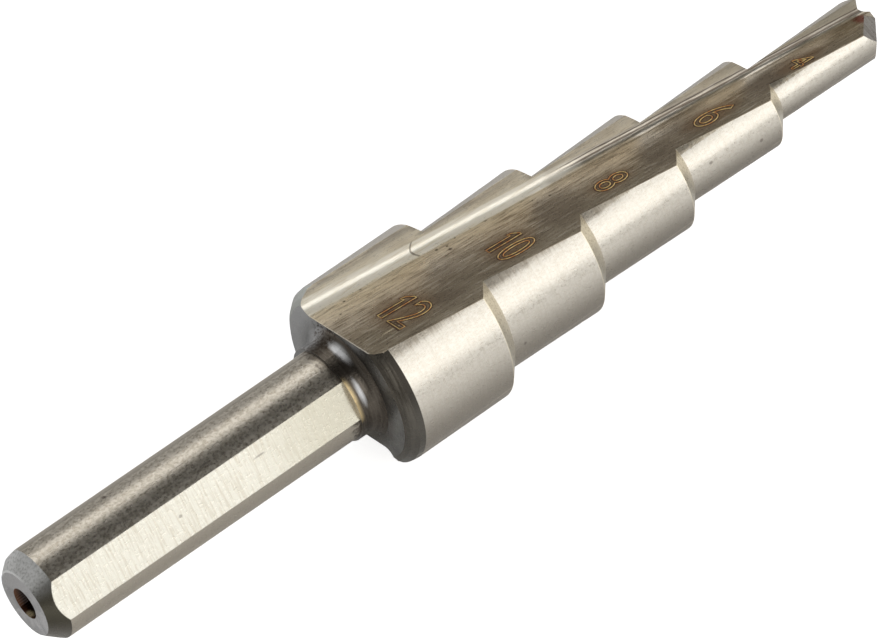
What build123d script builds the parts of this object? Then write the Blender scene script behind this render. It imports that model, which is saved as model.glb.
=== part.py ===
"""Step drill: five cutting diameters, two relieved lands, two straight V flutes
and a three-flat shank.  One solid piece, no joints.

Millimetres.  The drill axis lies along +X from the shank end (x = 0) to the
point, and +Z is up with the drill lying on the edges of its lower flute.
"""
import os
from math import cos, radians, sin, tan

from build123d import *

# Overall lengths along the axis
overall_length = 65.15
shank_length = 24.9

# Shank: round bar with three ground flats
shank_diameter = 6.0
flat_count = 3
flat_across_axis = 2.71
flat_facing = 265.4
flat_end_gap = 2.5
shank_end_chamfer_radial = 0.85
shank_end_chamfer_axial = 1.05
shank_end_chamfer_bulge = 0.03
centre_bore_diameter = 2.05
centre_bore_depth = 3.0
centre_bore_drill_angle = 118.0

# Neck between the shank and the largest step
neck_collar_diameter = 6.3
neck_collar_width = 0.4
neck_root_radius = 3.72
neck_overlap = 1.0
back_face_setback = 1.05
back_face_radius = 5.2
back_edge_setback = 0.42
back_edge_drop = 0.07
back_corner_setback = 0.85
back_corner_drop = 0.45

# Cutting steps, largest first
step_diameters = (12.0, 10.0, 8.0, 6.0, 4.0)
first_step_length = 6.68
step_pitch = 7.84
shoulder_length = 1.04
back_taper = 0.15

# Relief of the two lands behind their cutting edges, as a share of the radius
land_relief = 0.054
land_relief_facing = 236.0
land_split_facing = 173.0

# V flutes: the root runs in a straight line that closes on the axis
flute_root_back = 4.83
flute_root_front = 1.04
flute_root_facing_back = 35.5
flute_root_facing_front = 34.9
flute_front_station = 38.5
heel_wall_direction = 163.8
cutting_wall_direction = 89.0
flute_wall_length = 17.0
root_fillet_back = 0.74
root_fillet_front = 0.26
flute_overrun = 4.0

# Point: a lip facet on each side and a steeper heel facet kept to its own side
lip_facet_slope = 40.8
lip_facet_facing = 186.0
heel_facet_slope = 54.0
heel_facet_facing = 110.0
heel_facet_side = 163.0
heel_facet_overshoot = 0.1

shank_radius = shank_diameter / 2
step_radii = [diameter / 2 for diameter in step_diameters]
back_face_x = shank_length - back_face_setback
heel_facet_reach = 1.25 * step_diameters[-1]


def across(x):
    """Plane square to the drill axis at x, with local x along Y and local y along Z."""
    return Plane(origin=(x, 0, 0), x_dir=(0, 1, 0), z_dir=(1, 0, 0))


def polar(radius, facing):
    """Point in a plane square to the axis, angle taken from +Y towards +Z."""
    return (radius * cos(radians(facing)), radius * sin(radians(facing)))


# Rings of one land, as (x, radius, relief) triples: no relief on the turned back edge
first_radius = step_radii[0]
land_rings = [
    (back_face_x, back_face_radius, 0.0),
    (shank_length - back_corner_setback, first_radius - back_corner_drop, land_relief * 0.3),
    (shank_length - back_edge_setback, first_radius - back_edge_drop, land_relief * 0.7),
    (shank_length, first_radius, land_relief),
]
for number, radius in enumerate(step_radii[:-1]):
    step_end = shank_length + first_step_length + number * step_pitch
    next_radius = step_radii[number + 1] - back_taper
    land_rings.append((step_end, radius, land_relief))
    land_rings.append((step_end + shoulder_length, next_radius, land_relief))
land_rings.append((overall_length, step_radii[-1], land_relief))

# One land: ruled between rings set off towards the cutting edge, then halved
with BuildPart() as land:
    for ring_x, ring_radius, relief in land_rings:
        with BuildSketch(across(ring_x)):
            with Locations(polar(relief * ring_radius, land_relief_facing)):
                Circle((1 - relief) * ring_radius)
    loft(ruled=True)
    split_y, split_z = polar(1.0, land_split_facing)
    split(bisect_by=Plane(origin=(0, 0, 0), z_dir=(0, split_y, split_z)), keep=Keep.TOP)

# Flute cutter: two V sections with rounded roots, joined by ruled walls
back_root_y, back_root_z = polar(flute_root_back, flute_root_facing_back)
front_root_y, front_root_z = polar(flute_root_front, flute_root_facing_front)
flute_start = -flute_overrun
flute_stop = overall_length - shank_length + flute_overrun / 2
with BuildPart() as flute:
    for station in (flute_start, flute_stop):
        reach = station / flute_front_station
        root_y = back_root_y + (front_root_y - back_root_y) * reach
        root_z = back_root_z + (front_root_z - back_root_z) * reach
        heel_y, heel_z = polar(flute_wall_length, heel_wall_direction)
        edge_y, edge_z = polar(flute_wall_length, cutting_wall_direction)
        along = (station - flute_start) / (flute_stop - flute_start)
        root_fillet = root_fillet_back + (root_fillet_front - root_fillet_back) * along
        with BuildSketch(across(shank_length + station)):
            with BuildLine():
                Polyline(
                    (root_y, root_z),
                    (root_y + edge_y, root_z + edge_z),
                    (root_y + heel_y, root_z + heel_z),
                    close=True,
                )
            make_face()
            fillet(vertices().sort_by_distance((root_y, root_z))[0], radius=root_fillet)
    loft(ruled=True)

# Shank and neck outline, as (x, radius) pairs from the drill axis
collar_front = shank_length - flat_end_gap + neck_collar_width
neck_collar_radius = neck_collar_diameter / 2
neck_mid_x = back_face_x - (back_face_x - collar_front) * 0.3
neck_mid_radius = neck_collar_radius + (neck_root_radius - neck_collar_radius) * 0.38

chamfer_mid_x = (shank_end_chamfer_axial - shank_end_chamfer_bulge) / 2
chamfer_mid_radius = shank_radius - (shank_end_chamfer_radial - shank_end_chamfer_bulge) / 2

with BuildPart() as step_drill:
    # Shank, collar and neck
    with BuildSketch(Plane.XZ):
        with BuildLine():
            Polyline(
                (back_face_x, neck_root_radius),
                (back_face_x + neck_overlap, neck_root_radius),
                (back_face_x + neck_overlap, 0),
                (0, 0),
                (0, shank_radius - shank_end_chamfer_radial),
            )
            ThreePointArc(
                (0, shank_radius - shank_end_chamfer_radial),
                (chamfer_mid_x, chamfer_mid_radius),
                (shank_end_chamfer_axial, shank_radius),
            )
            Polyline(
                (shank_end_chamfer_axial, shank_radius),
                (shank_length - flat_end_gap, shank_radius),
                (shank_length - flat_end_gap, neck_collar_radius),
                (collar_front, neck_collar_radius),
            )
            ThreePointArc(
                (collar_front, neck_collar_radius),
                (neck_mid_x, neck_mid_radius),
                (back_face_x, neck_root_radius),
            )
        make_face()
    revolve(axis=Axis.X)

    # Shank flats, stopping against the collar
    for number in range(flat_count):
        facing = flat_facing + number * 360.0 / flat_count
        flat_y, flat_z = polar(flat_across_axis, facing)
        normal_y, normal_z = polar(1.0, facing)
        flat_plane = Plane(
            origin=(0, flat_y, flat_z), x_dir=(1, 0, 0), z_dir=(0, normal_y, normal_z)
        )
        with BuildSketch(flat_plane):
            with Locations(((shank_length - flat_end_gap) / 2 - 1.0, 0)):
                Rectangle(shank_length - flat_end_gap + 2.0, shank_diameter)
        extrude(amount=shank_radius, mode=Mode.SUBTRACT)

    # Centre bore in the shank end
    with BuildSketch(Plane.XZ):
        with BuildLine():
            bore_radius = centre_bore_diameter / 2
            drill_tip = bore_radius / tan(radians(centre_bore_drill_angle / 2))
            Polyline(
                (-1.0, 0),
                (-1.0, bore_radius),
                (centre_bore_depth, bore_radius),
                (centre_bore_depth + drill_tip, 0),
                close=True,
            )
        make_face()
    revolve(axis=Axis.X, mode=Mode.SUBTRACT)

    # Two lands, then two flutes, each pair half a turn apart
    for turn in (0.0, 180.0):
        add(land.part.rotate(Axis.X, turn))
    for turn in (0.0, 180.0):
        add(flute.part.rotate(Axis.X, turn), mode=Mode.SUBTRACT)

    # Lip facets, sloping both ways from the chisel edge
    for turn in (0.0, 180.0):
        lean_y, lean_z = polar(tan(radians(lip_facet_slope)), lip_facet_facing + turn)
        lip_plane = Plane(origin=(overall_length, 0, 0), z_dir=(1, lean_y, lean_z))
        split(bisect_by=lip_plane, keep=Keep.BOTTOM)

    # Heel facets, each ground from the outside in as far as the drill axis
    for turn in (0.0, 180.0):
        lean_y, lean_z = polar(tan(radians(heel_facet_slope)), heel_facet_facing + turn)
        stop_y, stop_z = polar(1.0, heel_facet_side + turn - 90.0)
        heel_plane = Plane(
            origin=(overall_length + heel_facet_overshoot, 0, 0),
            x_dir=(-(lean_y * stop_y + lean_z * stop_z), stop_y, stop_z),
            z_dir=(1, lean_y, lean_z),
        )
        with BuildSketch(heel_plane):
            with Locations((0, heel_facet_reach / 2)):
                Rectangle(2 * heel_facet_reach, heel_facet_reach)
        extrude(amount=heel_facet_reach, dir=(1, 0, 0), mode=Mode.SUBTRACT)

step_drill.part.label = "step_drill"
os.makedirs("parts", exist_ok=True)
export_step(step_drill.part, "parts/step_drill.step")
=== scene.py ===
import math

import bpy
from mathutils import Matrix, Vector


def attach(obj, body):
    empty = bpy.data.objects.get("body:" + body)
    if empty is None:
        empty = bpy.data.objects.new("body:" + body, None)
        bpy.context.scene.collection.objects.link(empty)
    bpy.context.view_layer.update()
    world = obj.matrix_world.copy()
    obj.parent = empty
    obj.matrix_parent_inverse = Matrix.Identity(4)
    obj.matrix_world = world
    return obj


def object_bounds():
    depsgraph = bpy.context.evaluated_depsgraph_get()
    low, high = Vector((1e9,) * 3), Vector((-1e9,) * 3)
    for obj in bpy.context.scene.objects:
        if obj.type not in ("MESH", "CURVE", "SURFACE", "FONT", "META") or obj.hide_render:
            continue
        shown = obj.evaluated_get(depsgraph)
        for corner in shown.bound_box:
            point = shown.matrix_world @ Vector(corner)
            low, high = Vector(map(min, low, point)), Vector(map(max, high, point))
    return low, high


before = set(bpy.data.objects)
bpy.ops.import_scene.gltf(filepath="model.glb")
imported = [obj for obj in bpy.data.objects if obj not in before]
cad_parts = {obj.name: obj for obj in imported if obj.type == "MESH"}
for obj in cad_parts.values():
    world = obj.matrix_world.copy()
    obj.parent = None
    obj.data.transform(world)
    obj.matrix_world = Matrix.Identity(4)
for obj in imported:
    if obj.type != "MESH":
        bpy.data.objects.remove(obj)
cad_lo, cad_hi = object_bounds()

MM = 0.001

# Places on the drill, in mm and degrees.  x is counted from the shank's end and t from the
# rear rim of the largest step, both towards the point.  A facing is an angle round the axis:
# 0 is the camera's side and 90 is upwards in the picture.
SHANK_LENGTH = 24.9
END_CHAMFER = 1.05
END_RIM_RADIUS = 2.15
BORE_RADIUS = 1.025
FLAT_END = 22.4
FLAT_ACROSS_AXIS = 2.71
FLAT_FACINGS = (-142.4, -22.4, 97.6)
BACK_FACE = 23.85
BACK_EDGE_T = -0.42
FIRST_RADIUS = 6.0
FIRST_STEP_LENGTH = 6.68
STEP_PITCH = 7.84
STEP_ENDS = [FIRST_STEP_LENGTH + STEP_PITCH * k for k in range(4)]
SHOULDER = 1.04                # length of each slope between two steps
POINT_T = 37.4                 # where the point's facets begin
FACING_ZERO = 123.0            # part's angle, from +Y towards +Z, of facing 0
WALL_FACING = 49.2             # the way the heel wall faces
CUT_WALL_DIRECTION = 34.0      # facing in which the cut wall runs out from the root

# Straight lines along the flute: the value at t = 0, and its change per mm
WALL_GAP = (3.793, -0.0776)    # heel wall's distance from the axis
ROOT_UP = (4.824, -0.0983)     # root corner towards facing 90
ROOT_OUT = (0.216, -0.0047)    # root corner towards facing 0
ROOT_RADIUS = (0.6985, -0.01038)    # rounding of the root

# Marks in the steel, each with its middle, its half sizes and its strength.
# On the lands, in t and facing:
LAND_NICKS = (
    ((8.5, -58.0), (0.10, 1.4), 0.6), ((24.9, -33.5), (0.13, 1.9), 0.6),
    ((28.6, -48.0), (0.12, 2.2), 0.6),
)
# On the shank, in t and facing, with the softness of the edge before the strength:
SHANK_PITS = (
    ((-17.98, 53.9), (0.15, 2.5), 0.4, 0.8), ((-12.2, 14.5), (0.35, 1.2), 0.5, 0.5),
    ((-9.1, -13.0), (0.35, 1.2), 0.5, 0.5), ((-15.1, -20.0), (0.12, 2.0), 0.5, 0.5),
)
# On the heel wall, in t and mm across it:
DARK_PATCHES = (
    ((5.5, 2.8), (1.2, 0.7), 0.75), ((6.6, 1.2), (1.7, 1.4), 0.4),
    ((9.0, 2.4), (1.8, 0.8), 0.2), ((10.5, 0.9), (1.4, 0.8), 0.35),
    ((14.9, 1.3), (1.7, 1.6), 0.6), ((22.6, 1.2), (1.5, 1.3), 0.6),
    ((25.4, 0.3), (1.7, 1.6), 0.6), ((31.2, 0.7), (1.8, 0.8), 0.85),
)
DIGIT_HALOS = (
    ((2.9, 1.7), (1.8, 1.5), 0.6), ((10.9, 1.6), (1.6, 1.2), 0.6),
    ((18.8, 1.3), (1.5, 0.8), 0.6), ((26.9, 0.8), (1.9, 0.8), 0.6),
    ((34.0, 0.6), (1.7, 0.7), 0.6),
)
PALE_PATCHES = (((29.6, -0.5), (1.8, 0.5), 0.5), ((35.6, -0.1), (1.4, 0.4), 0.4))
# Small pits in the heel wall: middle and half width, a little longer along the drill
PIT_STRETCH = 1.3
PIT_STRENGTH = 0.85
PITS = (
    ((7.86, -1.5), 0.08), ((8.44, -0.92), 0.10), ((11.55, -1.54), 0.08), ((8.5, -1.3), 0.06),
    ((2.55, -1.95), 0.06), ((1.2, -1.75), 0.07), ((0.3, -0.9), 0.06), ((9.3, -1.6), 0.05),
    ((15.6, -0.5), 0.07), ((14.6, -0.9), 0.05),
)

# Metal of the drill: pale surfaces, the painted highlights among them, mirror less, so that their
# colour shows
METALLIC = 0.92
PALE_DROP = 0.8
ROUGHNESS = 0.3
BUMP_STRENGTH = 0.3
BUMP_DEPTH = 0.02 * MM

# Size numbers: digit, its t and its place across the heel wall, then its width and height in mm
DIGITS = (
    ("1", 1.6, 0.70, 0.64, 2.6), ("2", 1.63, 1.84, 1.24, 2.75),
    ("1", 9.7, 0.67, 0.55, 2.4), ("0", 9.67, 1.64, 1.05, 2.6),
    ("8", 17.7, 0.8, 1.0, 2.25),
    ("6", 25.65, 0.32, 1.05, 2.8),
    ("4", 33.1, 0.28, 0.85, 1.6),
)
# Corners of the digit one, in a box of its own
ONE = ((0.4, 0.0), (1.0, 0.0), (1.0, 1.0), (0.75, 1.0), (0.1, 0.84), (0.0, 0.72), (0.4, 0.76))
TEXT_CURVE_STEPS = 6
TEXT_OFFSET = -0.012           # thins the digit, as a share of the letter size
LINE_RADIUS = 0.034 * MM
SHADOW_HALF_WIDTH = 0.11         # mm
SHADOW_LIFT = 0.004              # mm
SHARPEST_CORNER = 0.6          # the painted shadow band isn't widened further at sharper corners

# Studio: strengths of the light, and where it changes
CAMERA_GLOW = 0.8              # floor, as the camera sees it
GLOSSY_GLOW = 0.4              # floor, as the steel mirrors it
CLEAR_STRIP = 0.035            # m each side of the drill over which that mirrored glow grows, so that the steel mirrors a painted shadow beside the drill
WALL_LIGHT = 0.42
CEILING_LIGHT = 0.06
WALL_TOP = 0.4                 # height of a direction: 0 is level and 1 is straight up
CEILING_START = 0.7
FLOOR_REACH = 3.0              # m, as are the panels' sizes
PANEL_DISTANCE = 0.7
PANEL_LENGTH = 2.0
PANEL_AIM = Vector((0.035, 0.0, 0.0))
# Direction to a panel, along the axis and across it, as round walls mirror the camera's view
PANEL_ALONG = 0.376
PANEL_ACROSS = 0.927


def facing(angle):
    """Unit vector across the axis at a facing."""
    turn = math.radians(FACING_ZERO - angle)
    return Vector((0.0, math.cos(turn), math.sin(turn)))


def placed(name, data):
    """New object, linked to the scene."""
    thing = bpy.data.objects.new(name, data)
    bpy.context.scene.collection.objects.link(thing)
    return thing


# ---------------------------------------------------------------- camera
def make_camera():
    """Camera of the fitted view.

    The fit gives the middle of the rear rim in mm, the drill's axis and the directions of
    facing 0 and 90, as the camera has them: x to the right, y down and z away from it.
    """
    focal_pixels, photo_width = 7500.0, 878.0
    rim_middle = Vector((-4.5232159, 3.00632612, 435.51093705))
    axis = Vector((0.76352516, -0.52533397, 0.37557098))
    near_side = Vector((0.30953037, -0.21270767, -0.92679361))
    up_side = Vector((-0.566762989, -0.823880862, -0.000199161))
    turn = math.radians(FACING_ZERO)
    part_y = near_side * math.cos(turn) + up_side * math.sin(turn)
    part_z = near_side * math.sin(turn) - up_side * math.cos(turn)
    to_part = Matrix((axis, part_y, part_z))
    place = (to_part @ -rim_middle + Vector((SHANK_LENGTH, 0, 0))) * MM
    columns = [to_part @ Vector(v) for v in ((1, 0, 0), (0, -1, 0), (0, 0, -1))]
    data = bpy.data.cameras.new("camera")
    data.sensor_width = 36.0
    data.lens = focal_pixels / photo_width * data.sensor_width
    data.clip_start = 0.01
    data.clip_end = 20.0
    camera = placed("camera", data)
    camera.matrix_world = Matrix.Translation(place) @ Matrix(columns).transposed().to_4x4()
    bpy.context.scene.camera = camera
    bpy.context.scene.view_settings.view_transform = "Standard"


# ---------------------------------------------------------------- node helpers
def rgb(r, g, b):
    """Linear colour from screen values, 0 to 255."""
    def linear(v):
        v /= 255.0
        return v / 12.92 if v <= 0.04045 else ((v + 0.055) / 1.055) ** 2.4
    return (linear(r), linear(g), linear(b), 1.0)


class Nodes:
    """Short names for shader maths on one node tree."""

    def __init__(self, owner):
        owner.use_nodes = True
        self.tree = owner.node_tree
        self.tree.nodes.clear()
        self.coords = self.new("ShaderNodeTexCoord")

    def new(self, kind, **values):
        """New node with its settings."""
        node = self.tree.nodes.new(kind)
        for key, value in values.items():
            setattr(node, key, value)
        return node

    def put(self, socket, value):
        """Link another node's output to a socket, or set a plain value on it."""
        if hasattr(value, "is_output"):
            self.tree.links.new(value, socket)
        else:
            socket.default_value = value

    def show(self, shader, kind="ShaderNodeOutputMaterial"):
        """Output node, fed by a shader node."""
        self.put(self.new(kind).inputs["Surface"], shader.outputs[0])

    def split(self, vector):
        """The x, y and z of a vector."""
        node = self.new("ShaderNodeSeparateXYZ")
        self.put(node.inputs[0], vector)
        return node.outputs

    def math(self, operation, *values, clamp=False):
        """One maths node."""
        node = self.new("ShaderNodeMath", operation=operation, use_clamp=clamp)
        for socket, value in zip(node.inputs, values):
            self.put(socket, value)
        return node.outputs[0]

    def fold(self, operation, values):
        """All the values taken together, one after the other."""
        total = values[0]
        for value in values[1:]:
            total = self.math(operation, total, value)
        return total

    def add(self, *values):
        return self.fold("ADD", values)

    def mul(self, *values):
        return self.fold("MULTIPLY", values)

    def most(self, *values):
        return self.fold("MAXIMUM", values)

    def sub(self, a, b):
        return self.math("SUBTRACT", a, b)

    def absolute(self, a):
        return self.math("ABSOLUTE", a)

    def length(self, a, b):
        return self.math("SQRT", self.add(self.mul(a, a), self.mul(b, b)))

    def degrees(self, up, out):
        return self.mul(self.math("ARCTAN2", up, out), 180.0 / math.pi)

    def line_at(self, line, t):
        """Value of a straight line, given as its value at t = 0 and its change per mm."""
        return self.add(line[0], self.mul(t, line[1]))

    def step(self, value, low, high, out_low=0.0, out_high=1.0):
        """Smooth step: out_low below low, out_high above high."""
        node = self.new("ShaderNodeMapRange", interpolation_type="SMOOTHSTEP")
        for socket, v in zip(node.inputs, (value, low, high, out_low, out_high)):
            self.put(socket, v)
        return node.outputs[0]

    def fall(self, value, low, high, amount=1.0):
        """Smooth step down: amount below low, nothing above high."""
        return self.step(value, low, high, amount, 0.0)

    def near(self, value, middle, reach, soft):
        """One where value is within reach of middle, fading out over soft."""
        return self.fall(self.absolute(self.sub(value, middle)), reach, reach + soft)

    def spot(self, a, b, middle, size, soft=0.5, amount=1.0):
        """A soft-edged ellipse in the two coordinates a and b."""
        gap_a = self.math("DIVIDE", self.sub(a, middle[0]), size[0])
        gap_b = self.math("DIVIDE", self.sub(b, middle[1]), size[1])
        return self.fall(self.length(gap_a, gap_b), 1.0 - soft, 1.0 + soft, amount)

    def mix(self, amount, a, b):
        """Colour a, turning into colour b as amount goes to one."""
        node = self.new("ShaderNodeMix", data_type="RGBA")
        self.put(node.inputs[0], amount)
        self.put(node.inputs[6], a)
        self.put(node.inputs[7], b)
        return node.outputs[2]

    def grade(self, value, low, high, colour_low, colour_high):
        """One colour below low, another above high, and a blend between them."""
        return self.mix(self.step(value, low, high), colour_low, colour_high)

    def dab(self, under, colour, a, b, spots, soft):
        """Paint spots over a colour, each given as its middle, half sizes and strength."""
        for middle, size, amount in spots:
            under = self.mix(self.spot(a, b, middle, size, soft, amount), under, colour)
        return under

    def ramp(self, value, stops):
        """Colour ramp from (value, colour) stops."""
        low, high = stops[0][0], stops[-1][0]
        node = self.new("ShaderNodeValToRGB")
        elements = node.color_ramp.elements
        while len(elements) < len(stops):
            elements.new(0.5)
        for element, (at, colour) in zip(elements, stops):
            element.position = (at - low) / (high - low)
            element.color = colour
        unit = self.math("DIVIDE", self.sub(value, low), high - low, clamp=True)
        self.put(node.inputs[0], unit)
        return node.outputs[0]

    def noise(self, scale, stretch=(1, 1, 1), detail=3.0, rough=0.55, shift=(0, 0, 0)):
        """Noise between -1 and 1, with scale in waves per mm."""
        mapping = self.new("ShaderNodeMapping")
        self.put(mapping.inputs[0], self.coords.outputs["Object"])
        mapping.inputs["Location"].default_value = shift
        mapping.inputs["Scale"].default_value = [k / MM for k in stretch]
        node = self.new("ShaderNodeTexNoise")
        self.put(node.inputs["Vector"], mapping.outputs[0])
        node.inputs["Scale"].default_value = scale
        node.inputs["Detail"].default_value = detail
        node.inputs["Roughness"].default_value = rough
        return self.step(node.outputs["Fac"], 0.3, 0.7, -1.0, 1.0)


# ---------------------------------------------------------------- drill steel
class Steel(Nodes):
    """Ground tool steel of the whole drill, with each ground surface's own colour and marks, and some
    painted highlights, reflections and shade.
    """

    def __init__(self):
        self.material = bpy.data.materials.new("ground_steel")
        super().__init__(self.material)
        self.measure()
        self.texture()
        self.mask_flutes()
        self.mask_rear()
        back_face_t = BACK_FACE - SHANK_LENGTH
        in_front = self.step(self.t, back_face_t + 0.01, back_face_t + 0.02)
        self.finish(self.mix(in_front, self.rear_colour(), self.front_colour()))

    def toward(self, angle, side=1.0):
        """Distance from the axis towards a facing, or away from it where side is -1."""
        v = facing(angle)
        return self.mul(self.add(self.mul(self.y, v.y), self.mul(self.z, v.z)), side)

    def measure(self):
        """Places on the drill, in mm and degrees."""
        parts = self.split(self.coords.outputs["Object"])
        self.x, self.y, self.z = (self.mul(part, 1.0 / MM) for part in parts)
        self.t = self.sub(self.x, SHANK_LENGTH)
        self.radius = self.length(self.y, self.z)
        self.normal_x = self.split(self.new("ShaderNodeNewGeometry").outputs["True Normal"])[0]
        self.view_facing = self.degrees(self.toward(90.0), self.toward(0.0))
        # the front is alike after half a turn: each flute and land is measured on its own side
        self.flute_side = self.math("SIGN", self.toward(60.0))
        self.across = self.toward(WALL_FACING - 90.0, self.flute_side)
        land_side = self.math("SIGN", self.toward(-40.0))
        self.land_facing = self.degrees(
            self.toward(90.0, land_side), self.toward(0.0, land_side))

    def texture(self):
        """Noises that the surfaces share: even ones, streaks along the drill, rings round it."""
        self.grain = self.noise(7.0, (0.6, 1, 1), 4.0, 0.65)
        self.speckle = self.noise(4.0, (1, 1, 1), 3.0, 0.6, (4, 9, 2))
        self.cloud = self.noise(0.7, (0.6, 1, 1), 3.0, 0.5, (2, 2, 8))
        self.streaks = self.noise(7.0, (0.05, 1, 1), 4.0, 0.7, (3, 1, 7))
        self.broad_streaks = self.noise(2.2, (0.08, 1, 1), 3.0, 0.6, (6, 4, 1))
        self.rings = self.noise(8.0, (1, 0.07, 0.07), 3.0, 0.65, (1, 5, 2))

    def mask_flutes(self):
        """Masks of the flutes' walls and roots, the shoulders and the point."""
        heel_gap = self.sub(self.toward(WALL_FACING, self.flute_side), self.line_at(WALL_GAP, self.t))
        self.on_heel_wall = self.near(heel_gap, 0.0, 0.02, 0.02)
        up = self.sub(self.toward(90.0, self.flute_side), self.line_at(ROOT_UP, self.t))
        out = self.sub(self.toward(0.0, self.flute_side), self.line_at(ROOT_OUT, self.t))
        self.above_root = up
        direction = math.radians(CUT_WALL_DIRECTION)
        cut_gap = self.sub(self.mul(out, math.sin(direction)), self.mul(up, math.cos(direction)))
        self.on_cut_wall = self.near(cut_gap, 0.0, 0.05, 0.04)
        root_radius = self.line_at(ROOT_RADIUS, self.t)
        self.from_root = self.math("DIVIDE", self.length(up, out), root_radius)
        self.in_root = self.fall(self.from_root, 1.1, 1.4)
        level = self.near(self.normal_x, 0.0, 0.3, 0.1)
        self.on_flute = self.mul(level, self.most(self.on_heel_wall, self.on_cut_wall, self.in_root))
        self.on_slope = self.step(self.normal_x, 0.3, 0.4)
        self.at_point = self.step(self.t, POINT_T, POINT_T + 0.1)

    def mask_rear(self):
        """Masks of the flats, end chamfer, end face and bore, and of the glints behind."""
        self.on_flat = self.most(*[
            self.near(self.toward(angle), FLAT_ACROSS_AXIS, 0.012, 0.008) for angle in FLAT_FACINGS])
        at_chamfer = self.fall(self.x, END_CHAMFER - 0.01, END_CHAMFER + 0.01)
        self.on_end_chamfer = self.mul(at_chamfer, self.sub(1.0, self.on_flat))
        self.on_end_face = self.fall(self.normal_x, -0.97, -0.95)
        within_bore = self.fall(self.radius, BORE_RADIUS - 0.005, BORE_RADIUS + 0.01)
        self.in_bore = self.mul(within_bore, self.step(self.x, 0.0, 0.01))
        # painted highlights: the upper chamfer, made pale in the shader, and a line along the end's
        # rim
        self.upper_chamfer_highlight = self.mul(
            at_chamfer, self.step(self.view_facing, 0.0, 15.0), self.step(self.normal_x, -0.97, -0.95))
        self.end_rim_highlight = self.mul(
            self.near(self.radius, END_RIM_RADIUS, 0.05, 0.03),
            self.near(self.view_facing, 78.0, 38.0, 15.0), self.fall(self.x, 0.05, 0.08))
        self.bore_glint = self.mul(
            self.spot(self.x, self.view_facing, (0.15, -138.0), (0.25, 16.0)), within_bore)
        wobble = self.add(self.t, self.mul(self.rings, 0.04))
        self.neck_glint = self.most(
            self.spot(wobble, self.view_facing, (-1.5, 31.0), (0.21, 13.0), 0.8),
            self.spot(wobble, self.view_facing, (-1.93, -17.0), (0.12, 13.0), 0.8, 0.8))

    def front_colour(self):
        """Everything in front of the back face: broken edge, lands, shoulders, point, flutes."""
        on_shoulder = self.mul(self.on_slope, self.sub(1.0, self.at_point))
        front = self.mix(on_shoulder, self.land_colour(), self.shoulder_colour())
        # painted highlight along the front rim of each step
        rim_highlights = self.most(*[self.near(self.t, end, 0.03, 0.04) for end in STEP_ENDS])
        front = self.mix(self.mul(rim_highlights, 0.6), front, rgb(250, 240, 215))
        past_rear_rim = self.step(self.t, -0.02, 0.0)
        front = self.mix(past_rear_rim, self.back_edge_colour(), front)
        point = self.grade(self.rings, -1, 1, rgb(130, 124, 116), rgb(158, 153, 146))
        front = self.mix(self.mul(self.on_slope, self.at_point), front, point)
        return self.mix(self.on_flute, front, self.flute_colour())

    def land_colour(self):
        """Bright round walls, shaded at the sides and with a darker band beside the flute's edge."""
        land = self.grade(self.grain, -1, 1, rgb(222, 215, 201), rgb(237, 231, 219))
        turning_lines = self.step(self.rings, 0.0, 1.0, 0.0, 0.25)
        land = self.mix(turning_lines, land, rgb(208, 200, 184))
        shade = self.step(self.absolute(self.land_facing), 15.0, 78.0)
        land = self.mix(shade, land, rgb(176, 168, 156))
        # the darker band is broad and faint on the larger steps, narrow and sharp on the others
        change = (14.0, 20.0)
        border = self.step(self.t, *change, -4.5, -2.5)
        soft = self.step(self.t, *change, 3.0, 0.6)
        ragged = self.add(self.land_facing, self.mul(self.rings, 0.6))
        darker_band = self.step(ragged, self.sub(border, soft), self.add(border, soft))
        darker_band_tone = self.grade(self.t, *change, rgb(176, 166, 150), rgb(182, 171, 150))
        uneven = self.step(self.rings, -0.6, 0.8, 0.7, 1.0)
        land = self.mix(self.mul(darker_band, uneven), land, darker_band_tone)
        return self.dab(land, rgb(120, 108, 100), self.t, self.land_facing, LAND_NICKS, 0.4)

    def shoulder_colour(self):
        """Sloped shoulders, with a painted highlight making them paler away from the camera's side."""
        shoulder = self.grade(self.grain, -1, 1, rgb(182, 173, 152), rgb(208, 200, 181))
        # painted highlight: paler away from the camera's side
        paler = self.step(self.absolute(self.land_facing), 15.0, 40.0, 0.0, 0.8)
        return self.mix(paler, shoulder, rgb(238, 231, 214))

    def back_edge_colour(self):
        """Broken edge between the back face and the rear rim: dark, with painted shade on its outer
        band and painted reflections paler above and below.
        """
        edge = self.grade(self.rings, -1, 1, rgb(72, 67, 59), rgb(98, 93, 84))
        # painted shade: the outer band darker than the rest of the edge
        outer = self.step(self.t, BACK_EDGE_T - 0.01, BACK_EDGE_T + 0.01)
        edge = self.mix(outer, edge, rgb(58, 54, 48))
        # painted reflections: paler below and above the camera's side
        below = self.fall(self.view_facing, -60.0, -20.0, 0.75)
        edge = self.mix(below, edge, rgb(122, 118, 110))
        above = self.step(self.view_facing, 30.0, 70.0)
        return self.mix(above, edge, rgb(172, 174, 168))

    def flute_colour(self):
        """Both walls and the root: dark lines along it in front, a painted highlight along its edge at
        the back face.
        """
        flute = self.mix(self.on_heel_wall, self.cut_wall_colour(), self.heel_wall_colour())
        flute = self.mix(self.in_root, flute, self.root_colour())
        wander = self.mul(self.broad_streaks, 0.03)
        lines = self.most(
            self.near(self.add(self.above_root, wander), 0.20, 0.02, 0.03),
            self.near(self.sub(self.above_root, wander), 0.0, 0.04, 0.04))
        lines = self.mul(lines, self.step(self.t, 16.0, 19.0, 0.0, 0.8))
        flute = self.mix(lines, flute, rgb(84, 70, 58))
        # painted highlight: a pale line where the flute meets the back face
        rear_edge_highlight = self.fall(self.t, -1.0, -0.95, 0.7)
        return self.mix(rear_edge_highlight, flute, rgb(246, 240, 226))

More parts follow.
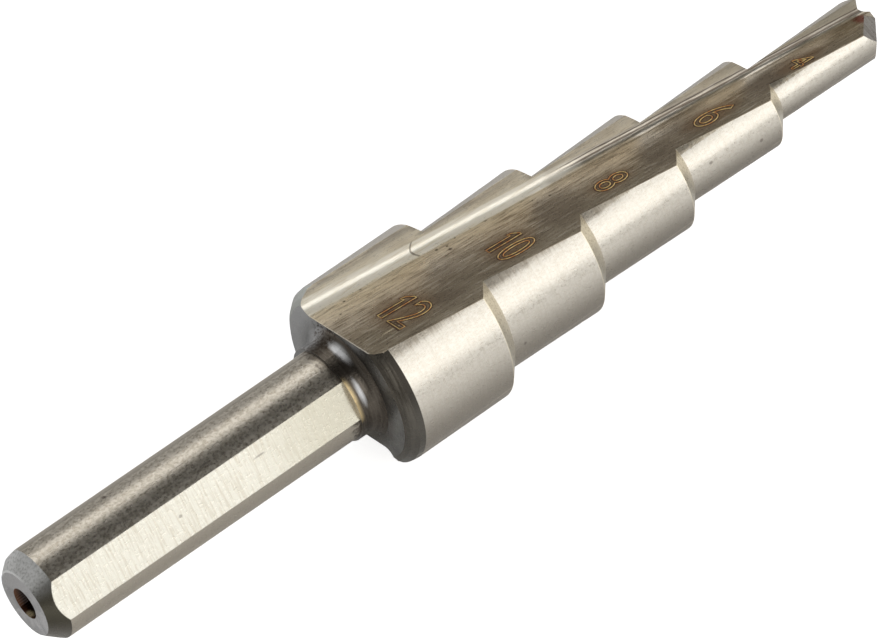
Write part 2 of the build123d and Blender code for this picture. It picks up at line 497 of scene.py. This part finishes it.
    def heel_wall_colour(self):
        """Brown-grey wall with the numbers: streaks along it, dark patches and small pits."""
        depth = self.add(self.across, self.mul(self.t, 0.04), 0.6)
        tone = self.add(depth, self.mul(self.streaks, 0.6), self.mul(self.broad_streaks, 0.45))
        wall = self.ramp(tone, [
            (-2.0, rgb(230, 221, 206)), (-0.8, rgb(214, 203, 184)), (0.8, rgb(180, 167, 148)),
            (1.9, rgb(157, 143, 122)), (3.3, rgb(136, 124, 104)), (4.6, rgb(146, 134, 114))])
        pale = rgb(236, 224, 204)
        paler = self.mul(self.step(self.t, 16.0, 22.0, 0.0, 0.6), self.fall(depth, 1.0, 2.2))
        wall = self.mix(paler, wall, pale)
        dark_streaks = self.step(self.streaks, 0.0, 1.0, 0.0, 0.5)
        wall = self.mix(dark_streaks, wall, rgb(86, 74, 59))
        pale_streaks = self.fall(self.streaks, -1.0, -0.3, 0.3)
        wall = self.mix(pale_streaks, wall, rgb(238, 228, 210))
        ragged_t = self.add(self.t, self.mul(self.streaks, 0.4))
        ragged_across = self.add(self.across, self.mul(self.broad_streaks, 0.35))
        patches = self.most(*[
            self.spot(ragged_t, ragged_across, middle, size, 0.6, amount)
            for middle, size, amount in DARK_PATCHES])
        wall = self.mix(patches, wall, rgb(112, 99, 82))
        wall = self.dab(wall, rgb(118, 92, 64), self.t, self.across, DIGIT_HALOS, 0.5)
        pits = [(middle, (size * PIT_STRETCH, size), PIT_STRENGTH) for middle, size in PITS]
        wall = self.dab(wall, rgb(60, 46, 36), self.t, self.across, pits, 0.5)
        scratch = self.near(self.add(self.across, self.mul(self.streaks, 0.05)), 2.7, 0.02, 0.03)
        scratch = self.mul(scratch, self.near(self.t, 2.0, 1.0, 1.0), 0.5)
        wall = self.mix(scratch, wall, rgb(228, 212, 180))
        wall = self.dab(wall, pale, self.t, self.across, PALE_PATCHES, 0.8)
        speckled_t = self.add(self.t, self.mul(self.speckle, 0.1))
        rust = self.spot(speckled_t, self.across, (39.1, 0.1), (0.4, 0.45), 0.5, 0.85)
        return self.mix(rust, wall, rgb(122, 66, 50))

    def cut_wall_colour(self):
        """Wall under the cutting edges, brushed lengthwise and darker at its outer edge."""
        tone = self.add(self.mul(self.streaks, 0.6), self.mul(self.cloud, 0.5))
        wall = self.ramp(tone, [
            (-1.1, rgb(196, 183, 160)), (0.0, rgb(232, 222, 201)), (1.1, rgb(248, 242, 226))])
        dark_streaks = self.step(self.streaks, 0.2, 1.0, 0.0, 0.35)
        wall = self.mix(dark_streaks, wall, rgb(130, 116, 98))
        # the steps' own radius, which falls by 1 mm over each shoulder
        step_radius = FIRST_RADIUS
        for end in STEP_ENDS:
            step_radius = self.sub(step_radius, self.step(self.t, end, end + SHOULDER))
        outer = self.step(self.sub(self.radius, step_radius), -0.8, -0.05)
        patchy = self.step(self.add(self.broad_streaks, self.cloud), -0.5, 0.9, 0.0, 0.55)
        wall = self.mix(self.mul(outer, patchy), wall, rgb(122, 110, 98))
        duller = self.step(self.t, 22.0, 40.0, 0.0, 0.7)
        return self.mix(duller, wall, rgb(168, 160, 142))

    def root_colour(self):
        """Rounded root: a painted highlight behind, duller in front, with one hairline."""
        # painted highlight: the root's white streak stands for a reflection, painted as pale colour
        highlight_streaks = self.step(self.streaks, 0.0, 0.9, 0.0, 0.8)
        root_highlight = self.mix(highlight_streaks, rgb(255, 250, 236), rgb(238, 228, 206))
        dull = self.grade(self.streaks, -1, 1, rgb(188, 179, 162), rgb(226, 219, 205))
        uneven_t = self.add(self.t, self.mul(self.cloud, 1.5))
        root = self.grade(uneven_t, 16.0, 19.5, root_highlight, dull)
        curved_t = self.add(self.t, self.mul(self.from_root, -0.35), self.mul(self.cloud, 0.1))
        hairline = self.mul(self.near(curved_t, 6.35, 0.04, 0.05), 0.7)
        return self.mix(hairline, root, rgb(110, 96, 80))

    def rear_colour(self):
        """Shank with its flats and end, then the neck and the back face."""
        behind = self.mix(self.on_flat, self.round_wall_colour(), self.flat_colour())
        pits = self.most(*[
            self.spot(self.t, self.view_facing, middle, size, soft, amount)
            for middle, size, soft, amount in SHANK_PITS])
        behind = self.mix(pits, behind, rgb(104, 92, 84))
        behind = self.mix(self.on_end_chamfer, behind, self.end_chamfer_colour())
        behind = self.mix(self.on_end_face, behind, self.end_face_colour())
        behind = self.mix(self.in_bore, behind, self.bore_colour())
        past_flats = self.step(self.x, FLAT_END - 0.01, FLAT_END + 0.01)
        return self.mix(past_flats, behind, self.neck_colour())

    def round_wall_colour(self):
        """Shank between its flats, with painted reflections lighter below the near flat and darker in
        a band above, and darker where it meets the collar.
        """
        mottle = self.add(self.speckle, self.mul(self.grain, 0.8))
        shank = self.grade(mottle, -1.2, 1.2, rgb(180, 171, 155), rgb(216, 208, 194))
        # painted reflection: lighter below the near flat
        below_flat = self.fall(self.view_facing, -50.0, -30.0)
        shank = self.mix(below_flat, shank, rgb(208, 199, 184))
        # painted reflection: a darker band above
        upper_band = self.near(self.view_facing, 69.0, 7.0, 4.0)
        shank = self.mix(upper_band, shank, rgb(156, 148, 135))
        darker_at_collar = self.step(self.add(self.x, self.mul(self.speckle, 0.35)), 21.7, 22.3)
        return self.mix(self.mul(darker_at_collar, 0.8), shank, rgb(96, 86, 74))

    def flat_colour(self):
        """Shank flats, duller towards the collar."""
        lines = self.step(self.rings, -0.4, 1.0, 0.0, 0.6)
        flat = self.mix(lines, rgb(237, 233, 219), rgb(210, 201, 182))
        duller = self.step(self.x, 14.0, 21.0, 0.0, 0.75)
        return self.mix(duller, flat, rgb(208, 202, 182))

    def end_chamfer_colour(self):
        """Chamfer round the shank's end, with painted reflections making it dark on the camera's side
        and paler above and below, and a painted highlight at the end's rim.
        """
        above = self.grade(self.grain, -1, 1, rgb(200, 200, 196), rgb(232, 232, 230))
        # painted reflections: dark on the camera's side, paler above and below
        chamfer = self.grade(self.view_facing, -15.0, 25.0, rgb(94, 90, 78), above)
        below = self.fall(self.view_facing, -80.0, -45.0, 0.6)
        chamfer = self.mix(below, chamfer, rgb(156, 151, 144))
        return self.mix(self.end_rim_highlight, chamfer, rgb(255, 255, 253))

    def end_face_colour(self):
        """Flat end of the shank, round the bore, with a painted highlight at its rim."""
        face = self.grade(self.cloud, -0.6, 0.6, rgb(188, 187, 187), rgb(216, 214, 213))
        specks = self.step(self.grain, 0.2, 1.0, 0.0, 0.5)
        face = self.mix(specks, face, rgb(200, 199, 198))
        upper = self.step(self.view_facing, -40.0, 60.0, 0.0, 0.35)
        face = self.mix(upper, face, rgb(160, 159, 157))
        return self.mix(self.end_rim_highlight, face, rgb(255, 255, 253))

    def bore_colour(self):
        """Centre bore, brown, with painted shade making it darker inside, and one painted glint at its
        mouth.
        """
        # painted shade: darker deeper in the bore
        bore = self.grade(self.x, 0.0, 0.5, rgb(150, 96, 58), rgb(66, 38, 28))
        return self.mix(self.bore_glint, bore, rgb(255, 238, 190))

    def neck_colour(self):
        """Dark neck and pale back face, with a gilt line at the near flat's end, painted reflections
        paler above, painted glints and some dirt.
        """
        neck = self.grade(self.rings, -1, 1, rgb(86, 79, 70), rgb(104, 97, 88))
        gilt = self.mul(
            self.near(self.view_facing, -22.0, 20.0, 12.0),
            self.fall(self.x, FLAT_END + 0.02, FLAT_END + 0.35, 0.8))
        neck = self.mix(gilt, neck, rgb(222, 198, 150))
        # painted reflection: the neck paler above
        upper = self.step(self.view_facing, 55.0, 75.0, 0.0, 0.8)
        neck = self.mix(upper, neck, rgb(150, 150, 150))
        neck = self.mix(self.neck_glint, neck, rgb(255, 255, 255))
        back = self.grade(self.view_facing, -60.0, 60.0, rgb(138, 137, 135), rgb(190, 190, 190))
        clouds = self.step(self.cloud, -1, 1, 0.0, 0.3)
        back = self.mix(clouds, back, rgb(200, 199, 197))
        on_back = self.mul(
            self.fall(self.normal_x, -0.99, -0.97),
            self.step(self.x, BACK_FACE - 0.5, BACK_FACE - 0.4),
            self.step(self.radius, 3.6, 4.7, 0.35, 1.0))
        neck = self.mix(on_back, neck, back)
        dirt = self.mul(
            self.near(self.view_facing, 62.0, 14.0, 8.0), self.near(self.radius, 3.6, 0.35, 0.3),
            self.step(self.add(self.speckle, self.grain), 0.1, 0.6, 0.0, 0.9))
        return self.mix(dirt, neck, rgb(58, 46, 36))

    def finish(self, colour):
        """Shader: how much each surface mirrors, and fine grinding marks as bump."""
        shader = self.new("ShaderNodeBsdfPrincipled")
        self.put(shader.inputs["Base Color"], colour)
        in_root = self.mul(self.in_root, self.on_flute)
        off_lines = self.sub(1.0, self.mul(self.near(self.above_root, 0.06, 0.08, 0.12), 0.9))
        pale_root = self.mul(in_root, off_lines, self.fall(self.t, 16.5, 19.5))
        # pale: the cut wall, and the painted highlights on the root, the neck and bore glints, the end
        # rim and the upper chamfer
        pale = self.most(
            self.mul(self.on_cut_wall, self.on_flute), pale_root, self.neck_glint,
            self.upper_chamfer_highlight, self.end_rim_highlight, self.bore_glint)
        self.put(shader.inputs["Metallic"], self.sub(METALLIC, self.mul(pale, PALE_DROP)))
        rougher = self.mul(in_root, self.step(self.above_root, -0.3, 0.05), 0.15)
        uneven = self.mul(self.grain, 0.04)
        self.put(shader.inputs["Roughness"], self.add(ROUGHNESS, rougher, uneven))
        bump = self.new("ShaderNodeBump")
        bump.inputs["Strength"].default_value = BUMP_STRENGTH
        bump.inputs["Distance"].default_value = BUMP_DEPTH
        brushed = self.mul(self.streaks, self.most(self.on_heel_wall, self.on_cut_wall), 0.35)
        turned = self.mul(self.rings, 0.15)
        rough = self.mul(self.grain, 0.25)
        self.put(bump.inputs["Height"], self.add(rough, brushed, turned))
        self.put(shader.inputs["Normal"], bump.outputs[0])
        self.show(shader)


# ---------------------------------------------------------------- size numbers on the heel wall
def etched_material(name, metallic, *colours):
    """Half-matt material in one colour, or in two that a noise blends."""
    material = bpy.data.materials.new(name)
    n = Nodes(material)
    shader = n.new("ShaderNodeBsdfPrincipled")
    colour = colours[0]
    if len(colours) > 1:
        colour = n.grade(n.noise(3.0), -0.5, 0.8, *colours)
    n.put(shader.inputs["Base Color"], colour)
    shader.inputs["Metallic"].default_value = metallic
    shader.inputs["Roughness"].default_value = 0.5
    n.show(shader)
    return material


def mesh_of(curve):
    """Mesh of a curve or text, as Blender evaluates it."""
    maker = placed("maker", curve)
    bpy.context.view_layer.update()
    shown = maker.evaluated_get(bpy.context.evaluated_depsgraph_get())
    mesh = bpy.data.meshes.new_from_object(shown)
    bpy.data.objects.remove(maker)
    return mesh


def closed_loops(mesh):
    """Points of each closed loop of an edge-only mesh."""
    linked = {}
    for edge in mesh.edges:
        for a, b in (edge.vertices, reversed(edge.vertices)):
            linked.setdefault(a, []).append(b)
    loops = []
    seen = set()
    for start in linked:
        if start in seen:
            continue
        loop, here = [], start
        while here is not None:
            seen.add(here)
            loop.append(mesh.vertices[here].co.xy)
            here = next((k for k in linked[here] if k not in seen), None)
        loops.append(loop)
    return loops


def digit_outline(digit):
    """Closed outlines of one digit, filling a unit square."""
    if digit == "1":
        loops = [[Vector(corner) for corner in ONE]]
    else:
        text = bpy.data.curves.new("digit", "FONT")
        text.body = digit
        text.fill_mode = "NONE"
        text.resolution_u = TEXT_CURVE_STEPS
        text.offset = TEXT_OFFSET
        loops = closed_loops(mesh_of(text))
    low = [min(p[i] for loop in loops for p in loop) for i in range(2)]
    high = [max(p[i] for loop in loops for p in loop) for i in range(2)]

    def in_square(p):
        return Vector([(p[i] - low[i]) / (high[i] - low[i]) for i in range(2)])
    return [[in_square(p) for p in loop] for loop in loops]


def on_wall(place, lift):
    """Point over the heel wall, in metres, from its places across and along it in mm."""
    where = place.x * facing(WALL_FACING - 90.0)
    where += (WALL_GAP[0] + WALL_GAP[1] * place.y + lift) * facing(WALL_FACING)
    where.x = SHANK_LENGTH + place.y
    return where * MM


def tube(loops):
    """Thin round line along closed outlines on the heel wall, as corners and faces."""
    line = bpy.data.curves.new("line", "CURVE")
    line.dimensions = "3D"
    line.bevel_depth = LINE_RADIUS
    line.bevel_resolution = 1
    for loop in loops:
        spline = line.splines.new("POLY")
        spline.points.add(len(loop) - 1)
        spline.use_cyclic_u = True
        for target, place in zip(spline.points, loop):
            target.co = (*on_wall(place, 0.0), 1.0)
    mesh = mesh_of(line)
    return [v.co.copy() for v in mesh.vertices], [tuple(p.vertices) for p in mesh.polygons]


def band(loops):
    """Flat band along closed outlines on the heel wall, as corners and faces."""
    corners, faces = [], []
    for loop in loops:
        first, count = len(corners), len(loop)
        for k, here in enumerate(loop):
            after = (loop[(k + 1) % count] - here).normalized()
            heading = (loop[(k + 1) % count] - loop[k - 1]).normalized()
            widen = max(heading.dot(after), SHARPEST_CORNER)
            side = Vector((-heading.y, heading.x)) * SHADOW_HALF_WIDTH / widen
            corners += [on_wall(here - side, SHADOW_LIFT), on_wall(here + side, SHADOW_LIFT)]
        for k in range(count):
            a, b = first + 2 * k, first + 2 * ((k + 1) % count)
            faces.append((a, b, b + 1, a + 1))
    return corners, faces


def number_piece(name, digit, at_t, at_across, width, tall, materials):
    """One digit on the heel wall, its top towards the point: a fine line on a dark band, a painted
    shadow of the engraving.
    """
    loops = [
        [Vector((at_across + p.x * width, at_t + p.y * tall)) for p in loop]
        for loop in digit_outline(digit)]
    corners, faces = tube(loops)
    round_faces, first = len(faces), len(corners)
    band_corners, band_faces = band(loops)
    corners += band_corners
    faces += [tuple(first + k for k in face) for face in band_faces]
    mesh = bpy.data.meshes.new(name)
    mesh.from_pydata(corners, [], faces)
    for material in materials:
        mesh.materials.append(material)
    for polygon in mesh.polygons:
        polygon.use_smooth = polygon.index < round_faces
        polygon.material_index = 0 if polygon.index < round_faces else 1
    piece = placed(name, mesh)
    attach(piece, "root")


# ---------------------------------------------------------------- studio
def make_floor():
    """White floor: plainly lit, and lifted to white where the camera sees it; the glow the steel
    mirrors fades out towards the drill, a painted shadow.
    """
    material = bpy.data.materials.new("pale_floor")
    n = Nodes(material)
    matte = n.new("ShaderNodeBsdfDiffuse")
    matte.inputs["Color"].default_value = (0.9, 0.9, 0.9, 1)
    glow = n.new("ShaderNodeEmission")
    path = n.new("ShaderNodeLightPath")
    direct = n.most(path.outputs["Is Camera Ray"], path.outputs["Is Transmission Ray"])
    across = n.absolute(n.split(n.coords.outputs["Object"])[1])
    # painted shadow: the mirrored glow fades out near the drill
    clear = n.step(across, 0.0, CLEAR_STRIP, 0.0, GLOSSY_GLOW)
    mirrored = n.mul(path.outputs["Is Glossy Ray"], clear)
    n.put(glow.inputs["Strength"], n.add(n.mul(direct, CAMERA_GLOW), mirrored))
    both = n.new("ShaderNodeAddShader")
    n.put(both.inputs[0], matte.outputs[0])
    n.put(both.inputs[1], glow.outputs[0])
    n.show(both)
    square = ((-1, -1), (1, -1), (1, 1), (-1, 1))
    corners = [(a * FLOOR_REACH, b * FLOOR_REACH, cad_lo.z) for a, b in square]
    mesh = bpy.data.meshes.new("floor")
    mesh.from_pydata(corners, [], [(0, 1, 2, 3)])
    mesh.materials.append(material)
    floor = placed("floor", mesh)


def make_world():
    """White behind the object; as light, a room that is paler near the floor than overhead."""
    world = bpy.data.worlds.new("studio")
    bpy.context.scene.world = world
    n = Nodes(world)
    height = n.split(n.coords.outputs["Generated"])[2]
    room = n.step(height, WALL_TOP, CEILING_START, WALL_LIGHT, CEILING_LIGHT)
    seen = n.new("ShaderNodeLightPath").outputs["Is Camera Ray"]
    background = n.new("ShaderNodeBackground")
    n.put(background.inputs["Strength"], n.add(n.mul(seen, n.sub(1.0, room)), room))
    n.show(background, "ShaderNodeOutputWorld")


def softbox(name, turn, half_angle, radiance):
    """Long soft panel at a part's angle round the axis, spanning half_angle each way."""
    a = math.radians(turn)
    outward = Vector((PANEL_ALONG, PANEL_ACROSS * math.cos(a), PANEL_ACROSS * math.sin(a)))
    along = (Vector((1, 0, 0)) - outward * outward.x).normalized()
    light = bpy.data.lights.new(name, "AREA")
    light.shape = "RECTANGLE"
    light.size = PANEL_LENGTH
    light.size_y = 2.0 * PANEL_DISTANCE * math.tan(math.radians(half_angle))
    light.energy = radiance * math.pi * light.size * light.size_y
    panel = placed(name, light)
    axes = Matrix((along, outward.cross(along), outward)).transposed()
    place = Matrix.Translation(PANEL_AIM + outward * PANEL_DISTANCE)
    panel.matrix_world = place @ axes.to_4x4()
    panel.visible_camera = False


make_camera()

steel = Steel()
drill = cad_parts["step_drill"]
if not drill.material_slots:
    drill.data.materials.append(steel.material)
for slot in drill.material_slots:
    slot.material = steel.material

gold = etched_material("etched_gold", 0.2, rgb(246, 214, 142), rgb(214, 146, 82))
# painted shadow: a dark band under each digit's line, standing for the engraving's shadow
line_shadow = etched_material("etched_line_shadow", 0.6, rgb(84, 64, 46))
for index, values in enumerate(DIGITS):
    number_piece(f"size_digit_{index + 1}_{values[0]}", *values, (gold, line_shadow))

make_floor()
make_world()
softbox("front_panel", turn=146.0, half_angle=24.0, radiance=1.2)
softbox("top_panel", turn=50.0, half_angle=13.5, radiance=1.3)
